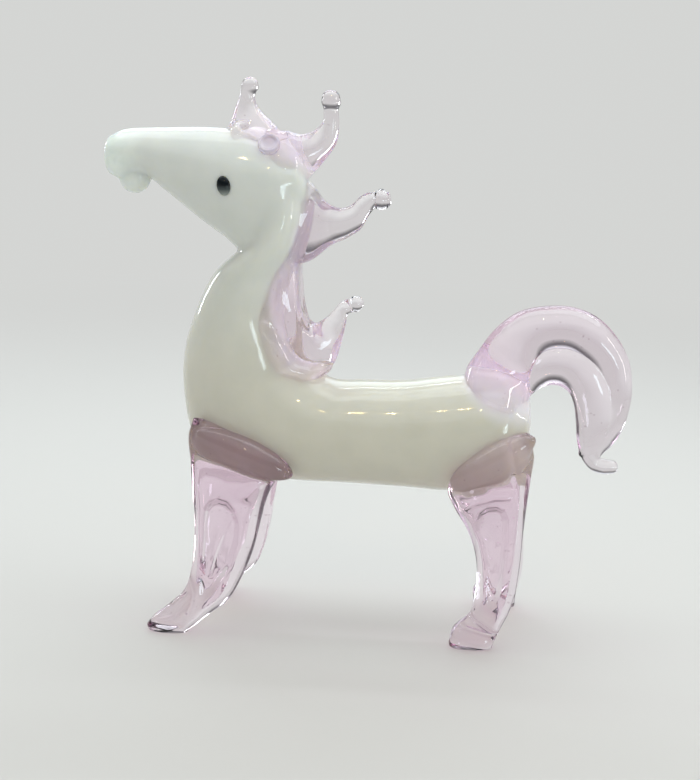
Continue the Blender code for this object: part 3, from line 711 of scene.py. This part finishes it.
def mark_strength(kind, path, reach, x, z):
    """How strong a tool mark is at points of the XZ plane."""
    if kind == "pits":
        return sum(np.exp(-((x - px) ** 2 + (z - pz) ** 2) / reach ** 2) for px, pz in path)
    if kind == "ridge":
        return np.exp(-(line_distance(x, z, path) / reach) ** 2)
    strength = np.where(inside(x, z, path), ease(line_distance(x, z, (*path, path[0])) / reach), 0.0)
    if kind == "ribs":
        across = RIB_WAY[0] * x + RIB_WAY[1] * z + RIB_SWAY * np.sin(RIB_BEND * x)
        strength = strength * np.sin(across * 2 * math.pi / RIB_SPACING)
    return strength


def add_shade(obj, amount):
    """Painted shade where a mark is, as darker colour for the glass to read."""
    data = obj.data
    layer = data.attributes.get("shade") or data.attributes.new("shade", "FLOAT", "POINT")
    values = np.empty(len(data.vertices))
    layer.data.foreach_get("value", values)
    layer.data.foreach_set("value", np.clip(np.maximum(values, amount), 0, 1))


def press(obj, side, stagger, kind, path, height, reach, colour):
    """A tool's mark on the outer face of a leg, with painted shade along its sides, or painted shade all over
    its outline.
    """
    points = points_of(obj)
    z = points[:, 2]
    strength = mark_strength(kind, path, reach, points[:, 0] - set_back(z, stagger), z)
    facing = ease((normals_of(obj)[:, 1] * side - FACING_FROM) / FACING_OVER)
    points[:, 1] += side * height * strength * facing
    write_back(obj, points)
    # Painted shade over the whole outline.
    if kind == "painted_shade":
        add_shade(obj, colour * strength)
    elif colour:
        # Painted shade, fullest halfway up the mark's side.
        add_shade(obj, colour * 4 * np.abs(strength) * (1 - np.abs(strength)) * facing)


def settle(obj, softness):
    """The foot's underside pressed flat on the ground, with a rounded rim."""
    points = points_of(obj)
    z = points[:, 2]
    points[:, 2] = 0.5 * (z + np.sqrt(z * z + softness * softness))
    write_back(obj, points)


def hold_in(obj, side):
    """The outermost parts eased in to a greatest distance from the middle, and no sole below the ground."""
    points = points_of(obj)
    out = points[:, 1] * side
    span = OUT_LIMIT - OUT_SOFT
    eased = OUT_SOFT + span * (1 - np.exp(-np.maximum(out - OUT_SOFT, 0) / span))
    points[:, 1] = side * np.where(out > OUT_SOFT, eased, out)
    points[:, 2] = np.maximum(points[:, 2], LOWEST)
    write_back(obj, points)


def add_leg(side_name, side, kind, table, ends, stagger, tuck):
    """One leg: its wrap and lumps melted together, worked with the pliers and set on the ground."""
    foot_end = (ends[1][0] + stagger, ends[1][1])
    shapes = [loft(leg_rows(table, side, stagger, tuck), (ends[0], foot_end), segments=80)]
    for (x, out, z), radii, lean in PADS[kind]:
        x += set_back(z, stagger) - tucked(z, tuck)
        shapes.append(ellipsoid((x, side * out, z), radii, lean, segments=60, rings=36))
    leg = melt("%s_%s_gather" % (side_name, kind), shapes, PINK_VOXEL, passes=5)
    for tool in PRESSES[kind]:
        if tool[0] == "facet":
            press(leg, side, stagger, *tool)
    soften_near(leg, WRAP_RIM[kind], reach=2.6, passes=57)
    for tool in PRESSES[kind]:
        if tool[0] != "facet":
            press(leg, side, stagger, *tool)
    settle(leg, softness=0.3)
    ripple(leg, height=0.06, size=3.0, seed=20.0 + side * 3 + (kind == "foreleg"))
    hold_in(leg, side)
    finish_piece(leg, pink, ["%s_%s" % (side_name, kind)])


for side_name, side in SIDES:
    moved = 1 if side > 0 else 0
    for kind, table, ends, stagger, tuck in LEGS:
        add_leg(side_name, side, kind, table, ends, moved * stagger, moved * tuck)

# Stage

FLOOR_HALF = 3000
# The floor turns into the backdrop's colour between these distances from the middle.
FADE_FROM, FADE_TO = 70.0, 330.0
# The backdrop: as the camera sees it, as glass sees it, and as it lights matt surfaces.
PALE = (0.66, 0.668, 0.655)
SWEEP = (0.64, 0.647, 0.635)
FILL = (0.70, 0.70, 0.69)
# What glass sees by the height of its look: the wall ahead of the camera and the walls at the sides.
WALL_TONES = ((0.0, SWEEP), (0.13, SWEEP), (0.26, (0.28, 0.285, 0.28)), (0.34, (0.12, 0.12, 0.125)))
SIDE_TONES = ((0.0, (0.36, 0.36, 0.36)), (0.12, (0.30, 0.30, 0.30)), (0.28, (0.14, 0.14, 0.145)))
CEILING = (0.82, 0.87, 0.90)


def floor_material():
    """A matt floor that turns into the backdrop's colour far away, so that it has no edge."""
    mat, tree, shader = material("pale_floor", roughness=0.6)
    set_inputs(tree, shader, {"Base Color": (0.56, 0.552, 0.532, 1.0), "Specular IOR Level": 0.1})
    away = add_node(tree, "VectorMath", {0: object_place(tree)}, operation="LENGTH")["Value"]
    by_camera = add_node(tree, "LightPath")["Is Camera Ray"]
    haze_colour = mix(tree, (*SWEEP, 1.0), (*PALE, 1.0), by_camera)
    haze = add_node(tree, "Emission", {"Color": haze_colour})["Emission"]
    fade = spread(tree, away, FADE_FROM, FADE_TO, smooth=True)
    surface = mix_shaders(tree, shader.outputs["BSDF"], haze, fade)
    set_inputs(tree, tree.nodes["Material Output"], {"Surface": surface})
    return mat


def studio_world():
    """A plain backdrop for the camera, a room with light and dark parts for glass, and an even fill light."""
    world = bpy.data.worlds.new("studio")
    world.use_nodes = True
    tree = world.node_tree
    tree.nodes.remove(tree.nodes["Background"])
    look = axes_of(tree, add_node(tree, "TexCoord")["Generated"])
    wall = ramp(tree, look["Z"], WALL_TONES)
    sides = ramp(tree, look["Z"], SIDE_TONES)
    ahead = ramp(tree, look["Y"], ((0.30, BLACK), (0.60, WHITE)))
    above = ramp(tree, look["Z"], ((0.40, BLACK), (0.57, WHITE)))
    room_colour = mix(tree, mix(tree, sides, wall, ahead), (*CEILING, 1.0), above)
    room, backdrop, fill = (add_node(tree, "Background", {"Color": colour, "Strength": 1.0})["Background"]
                            for colour in (room_colour, (*PALE, 1.0), (*FILL, 1.0)))
    ray = add_node(tree, "LightPath")
    unseen = mix_shaders(tree, room, fill, ray["Diffuse Depth"])
    surface = mix_shaders(tree, unseen, backdrop, ray["Is Camera Ray"])
    set_inputs(tree, tree.nodes["World Output"], {"Surface": surface})
    return world


CORNERS = ((-1, -1), (1, -1), (1, 1), (-1, 1))
floor = new_object("floor", [(x * FLOOR_HALF, y * FLOOR_HALF, 0) for x, y in CORNERS], [(0, 1, 2, 3)])
floor.data.materials.append(floor_material())
bpy.context.scene.world = studio_world()

# Lamps

MIDDLE = (0, 0, 35)
FACE = (0, 0, 45)
DAYLIGHT = (0.90, 0.97, 1.0)
SKYLIGHT = (0.80, 0.93, 1.0)
WINDOW = (0.78, 0.95, 1.0)
WARM_WHITE = (1.0, 0.97, 0.93)
AMBER = (1.0, 0.72, 0.30)


def lamp(name, place, target, size, power, colour, through_glass=True):
    """A rectangular lamp that shines at its target."""
    data = bpy.data.lights.new(name, "AREA")
    data.shape = "RECTANGLE"
    data.size, data.size_y = size[0] * MM, size[1] * MM
    data.energy = power
    data.color = colour
    obj = bpy.data.objects.new(name, data)
    obj.location = Vector(place) * MM
    obj.rotation_euler = (Vector(target) - Vector(place)).to_track_quat("-Z", "Y").to_euler()
    obj.visible_transmission = through_glass
    bpy.context.scene.collection.objects.link(obj)


# Each lamp: name, place, target, size, power in watts and colour.
lamp("overhead", (0, 20, 260), MIDDLE, (500, 130), 0.37, DAYLIGHT)
lamp("back_window", (0, 270, 230), MIDDLE, (420, 150), 0.38, SKYLIGHT, through_glass=False)
lamp("overhead_strip", (0, 130, 230), MIDDLE, (420, 9), 0.14, DAYLIGHT)
lamp("side_window", (197, -261, 43), FACE, (45, 82), 0.085, WINDOW)
lamp("back_left", (-300, 220, 110), MIDDLE, (30, 90), 0.12, DAYLIGHT)
lamp("far_right", (330, -90, 110), MIDDLE, (16, 200), 0.14, WARM_WHITE)
lamp("warm_glint", (-26, -228, 288), MIDDLE, (9, 9), 0.028, AMBER)
lamp("warm_glint_2", (40, -252, 250), MIDDLE, (8, 9), 0.024, AMBER)

# Camera

# Degrees, and the distance from the target in millimetres.
AZIMUTH, ELEVATION, ROLL, DISTANCE = 5.0, 12.0, 1.5, 230.0
TARGET = (-2.1, 0.0, 32.9)
SENSOR_WIDTH, FOCAL_LENGTH = 36.0, 77.07
# The nearest and the farthest that the camera sees, in metres.
CLIP_START, CLIP_END = 0.01, 20.0


def add_camera():
    """The photograph's view of the target."""
    azimuth, elevation, roll = (math.radians(angle) for angle in (AZIMUTH, ELEVATION, ROLL))
    back = Vector((math.sin(azimuth) * math.cos(elevation), -math.cos(azimuth) * math.cos(elevation),
                   math.sin(elevation)))
    flat_right = Vector((math.cos(azimuth), math.sin(azimuth), 0.0))
    flat_up = flat_right.cross(-back)
    right = flat_right * math.cos(roll) + flat_up * math.sin(roll)
    up = -flat_right * math.sin(roll) + flat_up * math.cos(roll)
    data = bpy.data.cameras.new("camera")
    data.sensor_width = SENSOR_WIDTH
    data.lens = FOCAL_LENGTH
    data.clip_start, data.clip_end = CLIP_START, CLIP_END
    camera = bpy.data.objects.new("camera", data)
    rows = [(right[i], up[i], back[i], (TARGET[i] + back[i] * DISTANCE) * MM) for i in range(3)]
    camera.matrix_world = Matrix((*rows, (0.0, 0.0, 0.0, 1.0)))
    bpy.context.scene.collection.objects.link(camera)
    return camera


bpy.context.scene.camera = add_camera()
bpy.context.scene.view_settings.view_transform = "Standard"
